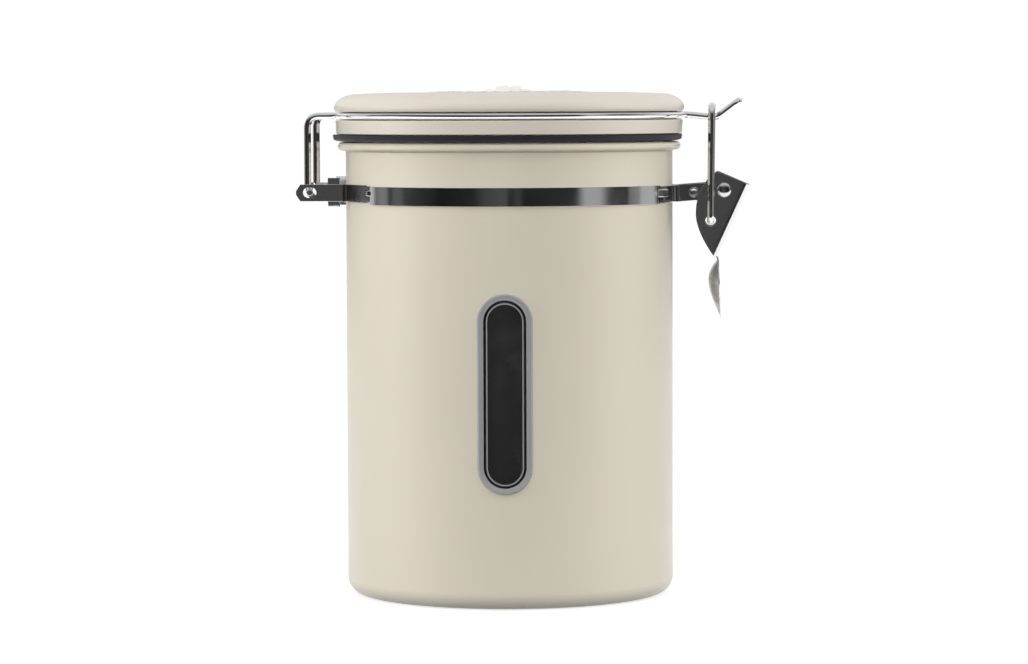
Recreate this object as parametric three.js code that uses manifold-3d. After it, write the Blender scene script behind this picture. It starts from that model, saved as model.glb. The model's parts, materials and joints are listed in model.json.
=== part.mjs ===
// Coffee canister: a round steel can with a window, and a lid held in a sprung wire ring.
// The ring hinges on two ears at the left, and an over-centre lever clamps its tail at the right.
// A date dial and a one-way valve sit in the middle of the lid.
// Millimetres, +Z up. The origin is on the can's axis, in the plane of its flat base.
// +X points to the latch, -X to the hinge, and the window faces -Y.
import * as THREE from 'three';
import { mergeVertices } from 'three/addons/utils/BufferGeometryUtils.js';
import Module from 'manifold-3d';

const wasm = await Module();
wasm.setup();

// ---- driving dimensions ----
const GAP = 0.3;                    // clearance between pieces that touch
const WALL_SIDES = 48;              // facets round the large turned pieces
const SMALL_SIDES = 24;             // facets round the small turned pieces

const CAN_R = 61;                   // outside radius of the can
const CAN_WALL = 0.8;
const BASE_ROUND = 6;               // radius between the side and the flat base
const RIM_Z = 168.4;                // top of the rolled rim
const RIM_BEAD = 1.5;               // radius of the rolled rim's section

const BAND_LOW = 145.7;             // clamp band, bottom and top edge
const BAND_HIGH = 152.5;
const BAND_R = CAN_R + GAP;         // inside radius of the band and of the ears' feet
const BAND_THICK = 0.7;
const PLATE = 0.8;                  // sheet thickness of ears, bracket and lever

const WIRE_R = 1.3;                 // wire of the ring and of the link
const RING_R = 64;                  // centre line radius of the ring
const RING_Z = 178.2;
const VALLEY_Z = 177.1;             // lowest point of the ring's tail, under the link's bar
const HINGE_X = -72.9;              // hinge axis, through the ring's bent ends
const HINGE_Z = 149.9;
const LEG_X = -73.9;                // upright legs of the ring
const LEG_Y = 16;

const PIVOT_X = 80.1;               // lever pivot
const PIVOT_Z = 150.4;
const LINK_X = 75.1;                // where the link's ends enter the lever
const LINK_Z = 138.9;
const BAR_X = 75.6;                 // top bar of the link, over the ring's tail
const BAR_Z = 181.5;
const LINK_Y = 11.3;                // centre line of the link's legs
const LEVER_HALF = 8.5;             // half the lever's outside width
const ARM_Y = 7.05;                 // middle of a bracket arm's thickness

const LID_R = 65.5;
const LID_TOP = 187.2;
const LID_LOW = 171.9;              // bottom edge of the lid's skirt
const GROOVE_R = RING_R - WIRE_R - GAP;
const WELL_R = 30;                  // recess in the lid for the date dial
const WELL_Z = 185;

const WINDOW_ANGLE = 1.3;           // degrees the window is turned towards the latch
const WINDOW_Z = 78.2;
const WINDOW_STRAIGHT = 52.4;       // straight part of the window, between its round ends

// ---- materials ----
const surface = (color, roughness, metalness) =>
  new THREE.MeshStandardMaterial({ color, roughness, metalness });
const cream = surface(0xcdc6b4, 0.45, 0.1);
const creamLid = surface(0xdcd5cb, 0.4, 0.05);
const steel = surface(0xb8babd, 0.15, 1);
const blackRubber = surface(0x323237, 0.7, 0);
const clearRubber = surface(0xd8d8d4, 0.6, 0);
const greyPlastic = surface(0x96989e, 0.35, 0);
const clearPlastic = new THREE.MeshStandardMaterial({
  color: 0x2c2c2e, roughness: 0.08, metalness: 0, transparent: true, opacity: 0.5,
});
const whitePlastic = surface(0xe9e7e2, 0.4, 0);
const felt = surface(0xf0ede4, 0.95, 0);

const radians = THREE.MathUtils.degToRad;

// ---- solids ----
function toSolid(geometry) {
  geometry.deleteAttribute('normal');
  geometry.deleteAttribute('uv');
  const merged = mergeVertices(geometry, 1e-4);
  const vertProperties = new Float32Array(merged.attributes.position.array);
  const triVerts = new Uint32Array(merged.index.array);
  const corner = (i) => new THREE.Vector3().fromArray(vertProperties, 3 * triVerts[i]);
  let volume = 0;
  for (let i = 0; i < triVerts.length; i += 3) {
    volume += corner(i).dot(corner(i + 1).cross(corner(i + 2)));
  }
  if (volume < 0) triVerts.reverse();
  return new wasm.Manifold(new wasm.Mesh({ numProp: 3, vertProperties, triVerts }));
}

function toGeometry(solid) {
  const { vertProperties, triVerts, numProp } = solid.getMesh();
  const positions = new Float32Array((vertProperties.length / numProp) * 3);
  for (let i = 0; i < positions.length / 3; i += 1) {
    for (let k = 0; k < 3; k += 1) positions[3 * i + k] = vertProperties[numProp * i + k];
  }
  const geometry = new THREE.BufferGeometry();
  geometry.setAttribute('position', new THREE.BufferAttribute(positions, 3));
  geometry.setIndex(new THREE.BufferAttribute(new Uint32Array(triVerts), 1));
  geometry.computeVertexNormals();
  return geometry;
}

const canister = new THREE.Group();

function addPart(name, solid, material) {
  const mesh = new THREE.Mesh(toGeometry(solid), material);
  mesh.name = name;
  canister.add(mesh);
}

// Points of an elliptical arc in a turned profile, angles in degrees from +r towards +z.
function arc(r, z, radiusR, radiusZ, from, to, steps) {
  const points = [];
  for (let i = 0; i <= steps; i += 1) {
    const a = radians(from + ((to - from) * i) / steps);
    points.push([r + radiusR * Math.cos(a), z + radiusZ * Math.sin(a)]);
  }
  return points;
}

// Turned solid about the Z axis from a profile of [r, z] points.
function turned(profile, sides = WALL_SIDES) {
  const closed = profile[0][0] > 0;
  const points = profile.map(([r, z]) => new THREE.Vector2(r, z));
  if (closed) points.push(points[0].clone());
  return toSolid(new THREE.LatheGeometry(points, sides).rotateX(Math.PI / 2));
}

const ring = (inner, outer, low, high, sides) =>
  turned([[inner, low], [outer, low], [outer, high], [inner, high]], sides);

// Closed round outline, with no doubled point where it closes.
function circle(x, y, radius, sides = 16) {
  const outline = new THREE.Shape();
  for (let i = 0; i < sides; i += 1) {
    const a = (2 * Math.PI * i) / sides;
    const point = [x + radius * Math.cos(a), y + radius * Math.sin(a)];
    if (i === 0) outline.moveTo(...point);
    else outline.lineTo(...point);
  }
  return outline;
}

// Prism of an outline drawn in X and Z, running along Y.
function plateXZ(shape, yLow, yHigh, curveSegments = 8) {
  const options = { depth: yHigh - yLow, bevelEnabled: false, curveSegments };
  const geometry = new THREE.ExtrudeGeometry(shape, options);
  return toSolid(geometry.rotateX(Math.PI / 2).translate(0, yHigh, 0));
}

// Prism of an outline drawn in X and Y, running along Z.
function plateXY(shape, zLow, zHigh, curveSegments = 8) {
  const options = { depth: zHigh - zLow, bevelEnabled: false, curveSegments };
  return toSolid(new THREE.ExtrudeGeometry(shape, options).translate(0, 0, zLow));
}

function box(low, high) {
  const size = low.map((v, i) => high[i] - v);
  const centre = low.map((v, i) => (high[i] + v) / 2);
  return toSolid(new THREE.BoxGeometry(...size).translate(...centre));
}

// Round bar along Y, between two planes.
function barAlongY(x, z, radius, yLow, yHigh, sides = 16) {
  const geometry = new THREE.CylinderGeometry(radius, radius, yHigh - yLow, sides);
  return toSolid(geometry.translate(x, (yLow + yHigh) / 2, z));
}

// Part of a hoop between two angles, in degrees from +X towards +Y.
function hoopSector(inner, outer, low, high, from, to) {
  const shape = new THREE.Shape();
  shape.absarc(0, 0, outer, radians(from), radians(to), false);
  shape.absarc(0, 0, inner, radians(to), radians(from), true);
  return plateXY(shape, low, high, Math.max(4, Math.ceil(Math.abs(to - from) / 5)));
}

// Copy of a solid on the other side of the plane y = 0.
const acrossY = (solid) => solid.mirror([0, 1, 0]);

// Curve made of pieces, each with its own number of steps, so that bends are fine and runs are coarse.
class WirePath extends THREE.Curve {
  constructor(pieces) {
    super();
    this.pieces = pieces;
    this.steps = pieces.reduce((sum, [, steps]) => sum + steps, 0);
  }

  getPoint(t) {
    let s = t * this.steps;
    for (const [curve, steps] of this.pieces) {
      if (s <= steps) return curve.getPoint(s / steps);
      s -= steps;
    }
    return this.pieces.at(-1)[0].getPoint(1);
  }

  getPointAt(u) {
    return this.getPoint(u);
  }

  getTangentAt(u) {
    return this.getTangent(u);
  }

  getSpacedPoints(divisions) {
    return this.getPoints(divisions);
  }
}

const at = (x, y, z) => new THREE.Vector3(x, y, z);
const run = (from, to, steps) => [new THREE.LineCurve3(from, to), steps];
const bend = (from, corner, to, steps) =>
  [new THREE.QuadraticBezierCurve3(from, corner, to), steps];

// The same pieces run backwards on the other side of the plane y = 0.
function mirroredBack(pieces) {
  return pieces.slice().reverse().map(([curve, steps]) => {
    const back = new THREE.Curve();
    back.getPoint = (t) => {
      const p = curve.getPoint(1 - t);
      return at(p.x, -p.y, p.z);
    };
    return [back, steps];
  });
}

function wire(pieces, sides = 8) {
  const path = new WirePath(pieces);
  const options = { steps: path.steps, extrudePath: path, bevelEnabled: false };
  return toSolid(new THREE.ExtrudeGeometry(circle(0, 0, WIRE_R, sides), options));
}

// ---- can ----
// Upright slot with round ends, cut square to the wall at the window.
function windowSlot(halfWidth, innerR, outerR) {
  const halfStraight = WINDOW_STRAIGHT / 2;
  const shape = new THREE.Shape();
  shape.absarc(0, WINDOW_Z + halfStraight, halfWidth, 0, Math.PI, false);
  shape.absarc(0, WINDOW_Z - halfStraight, halfWidth, Math.PI, 2 * Math.PI, false);
  return plateXZ(shape, -outerR, -innerR).rotate([0, 0, WINDOW_ANGLE]);
}

// Slot-shaped piece of a curved wall, between two radii.
function windowPiece(halfWidth, innerR, outerR) {
  const edge = halfWidth + WINDOW_STRAIGHT / 2 + 2;
  const wall = ring(innerR, outerR, WINDOW_Z - edge, WINDOW_Z + edge, 2 * WALL_SIDES);
  return wall.intersect(windowSlot(halfWidth, innerR - 5, outerR + 5));
}

const OPENING_HALF = 7.75;
const LENS_HALF = 7.05;
const FLANGE_HALF = 9.6;

function canBody() {
  const inner = CAN_R - CAN_WALL;
  const corner = CAN_R - BASE_ROUND;
  const beadR = CAN_R + RIM_BEAD;
  const beadZ = RIM_Z - RIM_BEAD;
  const shell = turned([
    [0, 0],
    ...arc(corner, BASE_ROUND, BASE_ROUND, BASE_ROUND, -90, 0, 4),
    [CAN_R, beadZ - RIM_BEAD],
    ...arc(beadR, beadZ, RIM_BEAD, RIM_BEAD, -90, 90, 5),
    [CAN_R + 0.2, RIM_Z],
    [inner, RIM_Z - 1],
    ...arc(corner, BASE_ROUND, BASE_ROUND - CAN_WALL, BASE_ROUND - CAN_WALL, 0, -90, 3),
    [0, CAN_WALL],
  ]);
  return shell.subtract(windowSlot(OPENING_HALF, CAN_R - 8, CAN_R + 8));
}

function windowBezel() {
  const outer = windowPiece(10, BAND_R, BAND_R + 0.9);
  return outer.subtract(windowSlot(OPENING_HALF, CAN_R - 8, CAN_R + 8));
}

function windowLens() {
  const plug = windowPiece(LENS_HALF, 58.5, 61.6);
  return plug.add(windowPiece(FLANGE_HALF, 58.1, 59));
}

function windowRing(innerR, outerR) {
  const outer = windowPiece(FLANGE_HALF, innerR, outerR);
  return outer.subtract(windowSlot(OPENING_HALF, CAN_R - 8, CAN_R + 8));
}

addPart('can_body', canBody(), cream);
addPart('window_bezel', windowBezel(), greyPlastic);
addPart('window_lens', windowLens(), clearPlastic);
addPart('window_seal', windowRing(59.3, 59.9), blackRubber);
addPart('window_frame', windowRing(56.8, 57.8), greyPlastic);

// ---- clamp band and ears ----
const HINGE_FOOT_END = 34.8;        // degrees from -X to the end of an ear's foot
const LATCH_FOOT_END = 23.1;        // degrees from +X to the end of a bracket's foot
const BAND_OUT = BAND_R + BAND_THICK;
const TONGUE_R = BAND_R + PLATE + GAP;
const EAR_Y = 17.5;                 // inside face of a hinge ear
const EAR_TIP = -78.1;
const EAR_HALF = 3.15;              // half the height of ears and of their feet
const EAR_MID = 149.8;

// One half of the band. Each end steps out into a narrow tongue that hooks over the foot it joins.
function bandHalf() {
  const from = 180 + HINGE_FOOT_END + 0.6;
  const to = 360 - LATCH_FOOT_END - 0.6;
  const strap = hoopSector(BAND_R, BAND_OUT, BAND_LOW, BAND_HIGH, from, to);
  const tongue = (start, end) =>
    hoopSector(TONGUE_R, TONGUE_R + BAND_THICK, 147.6, 151.6, start, end);
  const step = (start, end) =>
    hoopSector(BAND_R, TONGUE_R + BAND_THICK, 147.6, 151.6, start, end);
  return strap
    .add(tongue(from - 4.5, from + 1))
    .add(step(from, from + 1))
    .add(tongue(to - 1, to + 6.5))
    .add(step(to - 1, to));
}

// Ear with a pointed end, a slot for the wire and a foot that follows the can.
function hingeEar() {
  const shape = new THREE.Shape();
  const low = EAR_MID - EAR_HALF;
  const high = EAR_MID + EAR_HALF;
  shape.moveTo(EAR_TIP, EAR_MID + 0.7);
  shape.lineTo(EAR_TIP, EAR_MID - 0.7);
  shape.lineTo(EAR_TIP + 1.6, low);
  shape.lineTo(-59, low);
  shape.lineTo(-59, high);
  shape.lineTo(EAR_TIP + 1.6, high);
  const slot = new THREE.Path();
  slot.absarc(HINGE_X + 0.5, HINGE_Z, 1.9, -Math.PI / 2, Math.PI / 2, false);
  slot.absarc(HINGE_X - 0.7, HINGE_Z, 1.9, Math.PI / 2, 1.5 * Math.PI, false);
  shape.holes.push(slot);
  const plate = plateXZ(shape, -EAR_Y - PLATE, -EAR_Y);
  const foot = hoopSector(BAND_R, BAND_R + PLATE, low, high, 196.6, 180 + HINGE_FOOT_END);
  return plate.add(foot);
}

// Bridge between the ears: a web round the can with both ends turned outwards as tall cheeks.
function hingeBridge() {
  const cheek = new THREE.Shape();
  const bottom = 144.5;
  const top = 155.3;
  cheek.moveTo(-66.4, bottom);
  cheek.lineTo(-61.9, bottom);
  cheek.lineTo(-61.9, 147);
  cheek.lineTo(-59.7, 147);
  cheek.lineTo(-59.7, 152.6);
  cheek.lineTo(-61.9, 152.6);
  cheek.lineTo(-61.9, top);
  cheek.lineTo(-66.4, top);
  const outside = EAR_Y - GAP;
  const front = plateXZ(cheek, -outside, -outside + PLATE);
  const web = hoopSector(BAND_R, BAND_R + PLATE, 147, 152.6, 164, 196);
  return web.add(front).add(acrossY(front));
}

const ARM_RISE = Math.atan2(1.35, 18.6);   // the arms climb a little towards the lever
const ARM_HALF = 3.1;
const RIVET_X = 68.9;                      // rivet that joins the two arms
const RIVET_Z = PIVOT_Z + (RIVET_X - PIVOT_X) * Math.tan(ARM_RISE);

// Bracket arm: a foot round the can and a straight arm with a round end at the lever pivot.
function latchArm() {
  const length = 18.9;
  const shape = new THREE.Shape();
  shape.moveTo(-length, ARM_HALF);
  shape.lineTo(-length, -ARM_HALF);
  shape.absarc(0, 0, ARM_HALF, -Math.PI / 2, Math.PI / 2, false);
  shape.holes.push(circle(0, 0, 2), circle(RIVET_X - PIVOT_X, -0.1, 1.5));
  const arm = plateXZ(shape, -ARM_Y - 0.35, -ARM_Y + 0.35)
    .rotate([0, -THREE.MathUtils.radToDeg(ARM_RISE), 0])
    .translate([PIVOT_X, 0, PIVOT_Z]);
  const foot = hoopSector(BAND_R, BAND_R + PLATE, 146, 152.2, 360 - LATCH_FOOT_END, 353.7);
  return arm.add(foot);
}

// Rivet along Y: a shank between two heads.
function rivet(x, z, shankR, headR, headIn, headOut) {
  const head = barAlongY(x, z, headR, headIn, headOut - 0.5)
    .add(barAlongY(x, z, headR * 0.7, headIn, headOut));
  return barAlongY(x, z, shankR, -headIn - 0.1, headIn + 0.1).add(head).add(acrossY(head));
}

addPart('band_front', bandHalf(), steel);
addPart('band_rear', acrossY(bandHalf()), steel);
addPart('hinge_ear_front', hingeEar(), steel);
addPart('hinge_ear_rear', acrossY(hingeEar()), steel);
addPart('hinge_bridge', hingeBridge(), steel);
addPart('latch_arm_front', latchArm(), steel);
addPart('latch_arm_rear', acrossY(latchArm()), steel);
addPart('arm_rivet', rivet(RIVET_X, RIVET_Z, 1.2, 1.9, 7.5, 8.3), steel);
addPart('lever_rivet', rivet(PIVOT_X, PIVOT_Z, 1.7, 2.7, 8.6, 9.7), steel);

// ---- ring ----
function ringWire() {
  const onRing = (degrees) =>
    at(RING_R * Math.cos(radians(degrees)), RING_R * Math.sin(radians(degrees)), RING_Z);
  // Corner where the ring's tangent at an angle meets the line y = constant.
  const tangentCorner = (degrees, y) => {
    const a = radians(degrees);
    return at((RING_R - y * Math.sin(a)) / Math.cos(a), y, RING_Z);
  };
  const legAngle = 199;
  const tailAngle = 355;
  const tailY = 1.9;
  const bow = new THREE.EllipseCurve(0, 0, RING_R, RING_R, radians(legAngle), radians(tailAngle));
  const hoop = new THREE.CatmullRomCurve3(
    bow.getPoints(60).map((p) => at(p.x, p.y, RING_Z)),
  );
  const legTop = at(LEG_X, -LEG_Y, RING_Z - 4.5);
  const tailStart = at(67.6, -tailY, 178.1);
  const valley = at(77.4, -tailY, VALLEY_Z);
  const dip = at(75.4, -tailY, VALLEY_Z + 0.1);
  const climb = at(79, -tailY, VALLEY_Z + 1.2);
  const tip = at(84.1, -tailY, 182.3);
  const front = [
    run(at(HINGE_X, -19.2, HINGE_Z), at(HINGE_X, -18, HINGE_Z), 1),
    bend(at(HINGE_X, -18, HINGE_Z), at(HINGE_X - 0.4, -LEG_Y, HINGE_Z),
      at(LEG_X, -LEG_Y, HINGE_Z + 3.2), 5),
    run(at(LEG_X, -LEG_Y, HINGE_Z + 3.2), legTop, 3),
    bend(legTop, at(LEG_X, -LEG_Y, RING_Z), at(LEG_X + 4.5, -LEG_Y, RING_Z), 5),
    run(at(LEG_X + 4.5, -LEG_Y, RING_Z), at(-66.8, -LEG_Y, RING_Z), 1),
    bend(at(-66.8, -LEG_Y, RING_Z), tangentCorner(legAngle, -LEG_Y), onRing(legAngle), 5),
    [hoop, 26],
    bend(onRing(tailAngle), tangentCorner(tailAngle, -tailY), tailStart, 5),
    run(tailStart, dip, 2),
    bend(dip, valley, climb, 4),
    run(climb, tip, 2),
  ];
  front.push(bend(tip, at(85.5, -tailY, 183.3), at(85.5, 0, 183.3), 4));
  return wire([...front, ...mirroredBack(front)]);
}
addPart('ring_wire', ringWire(), steel);

// ---- latch ----
// Slanted back of the lever, from its lower end to its upper end.
const BACK_LOW = new THREE.Vector2(78.2, 127.2);
const BACK_HIGH = new THREE.Vector2(89.5, 152.1);

function leverOutline() {
  const shape = new THREE.Shape();
  shape.moveTo(78.6, 156.9);
  shape.lineTo(BACK_HIGH.x + 1, BACK_HIGH.y - 0.3);
  shape.lineTo(BACK_LOW.x + 0.3, BACK_LOW.y - 0.6);
  shape.lineTo(76.6, 125.2);
  shape.quadraticCurveTo(69.6, 135, 69.6, 141.8);
  shape.quadraticCurveTo(69.6, 151.5, 77.2, 157);
  shape.quadraticCurveTo(77.9, 157.3, 78.6, 156.9);
  return shape;
}

// Channel open towards the can, long enough to run through the whole outline.
function leverChannel(half, depth, round) {
  const back = BACK_HIGH.clone().sub(BACK_LOW);
  const section = new THREE.Shape();
  section.moveTo(40, -half);
  section.lineTo(depth + round, -half);
  section.quadraticCurveTo(depth, -half, depth, -half + round);
  section.lineTo(depth, half - round);
  section.quadraticCurveTo(depth, half, depth + round, half);
  section.lineTo(40, half);
  const options = { depth: 80, bevelEnabled: false, curveSegments: 4 };
  const geometry = new THREE.ExtrudeGeometry(section, options);
  geometry.translate(0, 0, -25);
  // Section x points from the back towards the can, and the run follows the slant.
  const along = at(back.x, 0, back.y).normalize();
  const inward = at(-along.z, 0, along.x);
  const across = along.clone().cross(inward);
  const turn = new THREE.Matrix4().makeBasis(inward, across, along);
  turn.setPosition(BACK_LOW.x, 0, BACK_LOW.y);
  return toSolid(geometry.applyMatrix4(turn));
}

// Thumb tab: half of an egg-shaped bowl, hollow side facing away from the can.
function thumbTab() {
  const bowl = (inset) => {
    const sphere = new THREE.SphereGeometry(1, 20, 12).rotateX(Math.PI / 2);
    return toSolid(sphere.scale(4 - inset, 7 - inset, 11.3 - inset));
  };
  return bowl(0)
    .subtract(bowl(0.8))
    .intersect(box([-6, -10, -20], [0, 10, 20]))
    .rotate([0, -3, 0])
    .translate([78.3, 0, 114]);
}

function latchLever() {
  const outline = plateXZ(leverOutline(), -LEVER_HALF - 1, LEVER_HALF + 1);
  const channel = leverChannel(LEVER_HALF, 0, 2)
    .subtract(leverChannel(LEVER_HALF - PLATE, PLATE, 1.2));
  const neck = new THREE.Shape();
  neck.moveTo(76.9, 122.6);
  neck.lineTo(77.9, 122.6);
  neck.lineTo(78.9, 128.2);
  neck.lineTo(77.6, 128.2);
  const shell = channel.intersect(outline)
    .add(plateXZ(neck, -3.2, 3.2))
    .add(thumbTab());
  return shell
    .subtract(barAlongY(PIVOT_X, PIVOT_Z, 2, -12, 12))
    .subtract(barAlongY(LINK_X, LINK_Z, 2, -12, 12));
}

function latchLink() {
  const end = at(LINK_X, -6.6, LINK_Z);
  const low = at(LINK_X, -LINK_Y, LINK_Z);
  const high = at(BAR_X, -LINK_Y, BAR_Z);
  const onLeg = (t) => low.clone().lerp(high, t);
  const length = high.distanceTo(low);
  const startLeg = onLeg(2 / length);
  const endLeg = onLeg(1 - 4.5 / length);
  const half = [
    run(end, at(LINK_X, -LINK_Y + 2, LINK_Z), 2),
    bend(at(LINK_X, -LINK_Y + 2, LINK_Z), low, startLeg, 4),
    run(startLeg, endLeg, 4),
    bend(endLeg, high, at(BAR_X, -LINK_Y + 4.5, BAR_Z), 5),
    run(at(BAR_X, -LINK_Y + 4.5, BAR_Z), at(BAR_X, 0, BAR_Z), 2),
  ];
  return wire([...half, ...mirroredBack(half)]);
}
addPart('latch_lever', latchLever(), steel);
addPart('latch_link', latchLink(), steel);

// ---- lid ----
function lidShell() {
  const inside = GROOVE_R - 1;
  const topWall = 1.2;
  return turned([
    [7.3, WELL_Z - topWall],
    [7.3, WELL_Z],
    [WELL_R, WELL_Z],
    [WELL_R, LID_TOP - 0.4],
    [WELL_R + 0.6, LID_TOP],
    ...arc(55.5, 181.2, LID_R - 55.5, LID_TOP - 181.2, 90, 0, 6),
    [LID_R - 0.2, 179.9],
    [GROOVE_R, 179.9],
    [GROOVE_R, 176.5],
    [LID_R - 0.6, 176.5],
    [LID_R - 0.4, 176],
    [LID_R - 0.8, LID_LOW],
    [inside, LID_LOW],
    [inside, 180.4],
    ...arc(55.5, 181.2, 8.3, 4.8, 0, 90, 2),
    [WELL_R + 1.2, 186],
    [WELL_R + 1.2, WELL_Z - topWall],
  ]);
}

// Inner pan of the lid: a flange inside the skirt and a tapered plug that enters the mouth.
function lidLiner() {
  const pan = turned([
    [0, 162],
    [53, 162],
    [53.6, 162.4],
    [57.4, 166.4],
    [57.4, 172],
    [GROOVE_R - 1 - GAP, 172],
    [GROOVE_R - 1 - GAP, 173.2],
    [56.2, 173.2],
    [56.2, 166.9],
    [52.6, 163.2],
    [0, 163.2],
  ]);
  let vented = pan;
  for (let i = 0; i < 6; i += 1) {
    const a = radians(60 * i);
    const hole = new THREE.CylinderGeometry(1.2, 1.2, 6, 12).rotateX(Math.PI / 2);
    vented = vented.subtract(toSolid(hole.translate(5 * Math.cos(a), 5 * Math.sin(a), 162.5)));
  }
  return vented;
}

// Seal ring: its rim shows below the lid, and its lower lip sits over the rim of the can.
function lidGasket() {
  return turned([
    [57.7, 168.7],
    [63.4, 168.7],
    [63.8, 169.3],
    [64.6, 169.4],
    [65, 170],
    [65, 171.2],
    [64.7, 171.6],
    [57.7, 171.6],
  ]);
}
addPart('lid_shell', lidShell(), creamLid);
addPart('lid_liner', lidLiner(), whitePlastic);
addPart('lid_gasket', lidGasket(), blackRubber);

// ---- date dial ----
const TRACK = [16.3, 19.6, 23.1];   // edges of the month and day pointers' track

function dialPlate() {
  return turned([
    [9.6, 185.3],
    [WELL_R - 0.4, 185.3],
    [WELL_R - 0.4, 187],
    [TRACK[2], 187],
    [TRACK[2], 186.1],
    [TRACK[0], 186.1],
    [TRACK[0], 187],
    [9.6, 187],
  ], 36);
}

// Pointer ring with a finger grip at a place on its circle.
function pointer(inner, outer, gripX, gripHalf) {
  const middle = (inner + outer) / 2;
  const gripY = -Math.sqrt(middle ** 2 - gripX ** 2);
  const grip = box(
    [gripX - gripHalf, gripY - 0.9, 187.1],
    [gripX + gripHalf, gripY + 0.9, 189.2],
  );
  return ring(inner, outer, 186.4, 187.4, 36).add(grip);
}
addPart('dial_plate', dialPlate(), creamLid);
addPart('month_pointer', pointer(TRACK[0] + GAP, TRACK[1] - 0.15, 3.4, 2), whitePlastic);
addPart('day_pointer', pointer(TRACK[1] + 0.15, TRACK[2] - GAP, -1.2, 2.4), whitePlastic);

// ---- valve ----
function valveBody() {
  const body = turned([
    [0, 181.4],
    [5.6, 181.4],
    [5.6, 179],
    [7, 179],
    [7, 185.3],
    [9.2, 185.3],
    [9.2, 186.6],
    [6.2, 186.6],
    [6.2, 182.4],
    [0, 182.4],
  ], SMALL_SIDES);
  let seat = body;
  for (let i = 0; i < 4; i += 1) {
    const a = radians(90 * i + 45);
    const hole = new THREE.CylinderGeometry(1, 1, 6, 12).rotateX(Math.PI / 2);
    seat = seat.subtract(toSolid(hole.translate(3 * Math.cos(a), 3 * Math.sin(a), 182)));
  }
  return seat;
}

function valveCap() {
  let cap = turned([
    [0, 185.4],
    [5.9, 185.4],
    [5.9, 187],
    [8.4, 187],
    [8.4, 187.5],
    [7.8, 187.9],
    [0, 188],
  ], SMALL_SIDES);
  for (let i = -1; i <= 1; i += 1) {
    cap = cap.subtract(box([-3.4, 2.4 * i - 0.5, 184], [3.4, 2.4 * i + 0.5, 189]));
  }
  return cap;
}

// Six-sided nut that clamps the valve from below.
function valveNut() {
  const hole = ring(0, 7.3, 179, 183, SMALL_SIDES);
  return ring(0, 11, 179.4, 182.2, 6).subtract(hole);
}
addPart('valve_body', valveBody(), whitePlastic);
addPart('valve_disc', ring(0, 5.2, 182.7, 183.5, SMALL_SIDES), clearRubber);
addPart('valve_cap', valveCap(), whitePlastic);
addPart('valve_washer', ring(7.3, 10.4, 182.5, 183.5, SMALL_SIDES), blackRubber);
addPart('valve_nut', valveNut(), whitePlastic);
addPart('valve_filter', ring(0, 8, 163.5, 164.3, SMALL_SIDES), felt);

export default canister;
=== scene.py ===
import json
import math

import bmesh
import bpy
from mathutils import Matrix, Vector


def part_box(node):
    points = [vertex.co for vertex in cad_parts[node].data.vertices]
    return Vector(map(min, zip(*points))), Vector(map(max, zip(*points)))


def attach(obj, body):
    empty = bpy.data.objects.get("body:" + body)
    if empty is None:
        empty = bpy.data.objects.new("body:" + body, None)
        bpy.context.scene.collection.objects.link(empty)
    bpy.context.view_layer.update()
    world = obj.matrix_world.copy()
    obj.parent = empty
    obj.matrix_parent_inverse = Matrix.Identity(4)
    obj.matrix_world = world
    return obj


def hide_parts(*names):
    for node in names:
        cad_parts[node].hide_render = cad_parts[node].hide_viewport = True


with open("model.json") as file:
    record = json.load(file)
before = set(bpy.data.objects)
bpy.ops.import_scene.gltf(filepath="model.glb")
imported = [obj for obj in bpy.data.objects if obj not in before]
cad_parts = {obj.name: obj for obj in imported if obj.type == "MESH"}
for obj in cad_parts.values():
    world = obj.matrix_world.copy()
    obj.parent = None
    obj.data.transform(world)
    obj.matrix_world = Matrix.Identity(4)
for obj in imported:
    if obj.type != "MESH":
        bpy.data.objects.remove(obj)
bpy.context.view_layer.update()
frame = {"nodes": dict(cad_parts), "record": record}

# Coffee canister with a clamp lid. Lengths below are in millimetres and angles in degrees;
# MM turns them into Blender's metres. +X is the latch side, -X the hinge side, -Y the window side.
MM = 0.001


def low(node, axis):
    """Lowest coordinate of a CAD node along an axis, in millimetres."""
    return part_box(node)[0][axis] / MM


def high(node, axis):
    """Highest coordinate of a CAD node along an axis, in millimetres."""
    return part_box(node)[1][axis] / MM


JOINTS = {j["name"]: j for j in frame["record"]["behaviour"]["joints"]}


def joint_place(name):
    """(x, z) of a joint's axis, in millimetres."""
    x, _, z = JOINTS[name]["pos_m"]
    return x / MM, z / MM


# ---- driving dimensions, from the frame where it holds them ----
GAP = 0.3
RIM_Z = high("can_body", 2)
RIM_BEAD = 1.5
CAN_R = high("can_body", 0) - 2 * RIM_BEAD
CAN_WALL = 0.8
BASE_ROUND = 6
BAND_LOW = low("band_front", 2)
BAND_HIGH = high("band_front", 2)
BAND_R = CAN_R + GAP
BAND_THICK = 0.7
PLATE = 0.8
RING_Z = 178.2
RING_R = 64
WIRE_R = 1.3
HINGE_X, HINGE_Z = joint_place("lid_hinge")
LEG_X, LEG_Y = -73.9, 16
PIVOT_X, PIVOT_Z = joint_place("lever_pivot")
LINK_X, LINK_Z = joint_place("link_pivot")
BAR_X, BAR_Z = 75.6, high("latch_link", 2) - WIRE_R
LINK_Y = high("latch_link", 1) - WIRE_R
LEVER_HALF = high("latch_lever", 1)
LID_R = high("lid_shell", 0) - 0.25
LID_TOP = high("lid_shell", 2)
LID_LOW = low("lid_shell", 2) - 0.45
GROOVE_R = RING_R - WIRE_R - GAP
WELL_R, WELL_Z = 30, 185
WINDOW_ANGLE, WINDOW_Z, WINDOW_STRAIGHT = 1.3, 78.2, 52.4
OPENING_HALF, LENS_HALF, FLANGE_HALF, BEZEL_HALF = 7.75, 7.05, 9.6, 10
EAR_Y, EAR_MID, EAR_HALF, EAR_TIP = 17.5, 149.8, 3.15, -78.1
HINGE_FOOT_END, LATCH_FOOT_END = 34.8, 23.1
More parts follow.
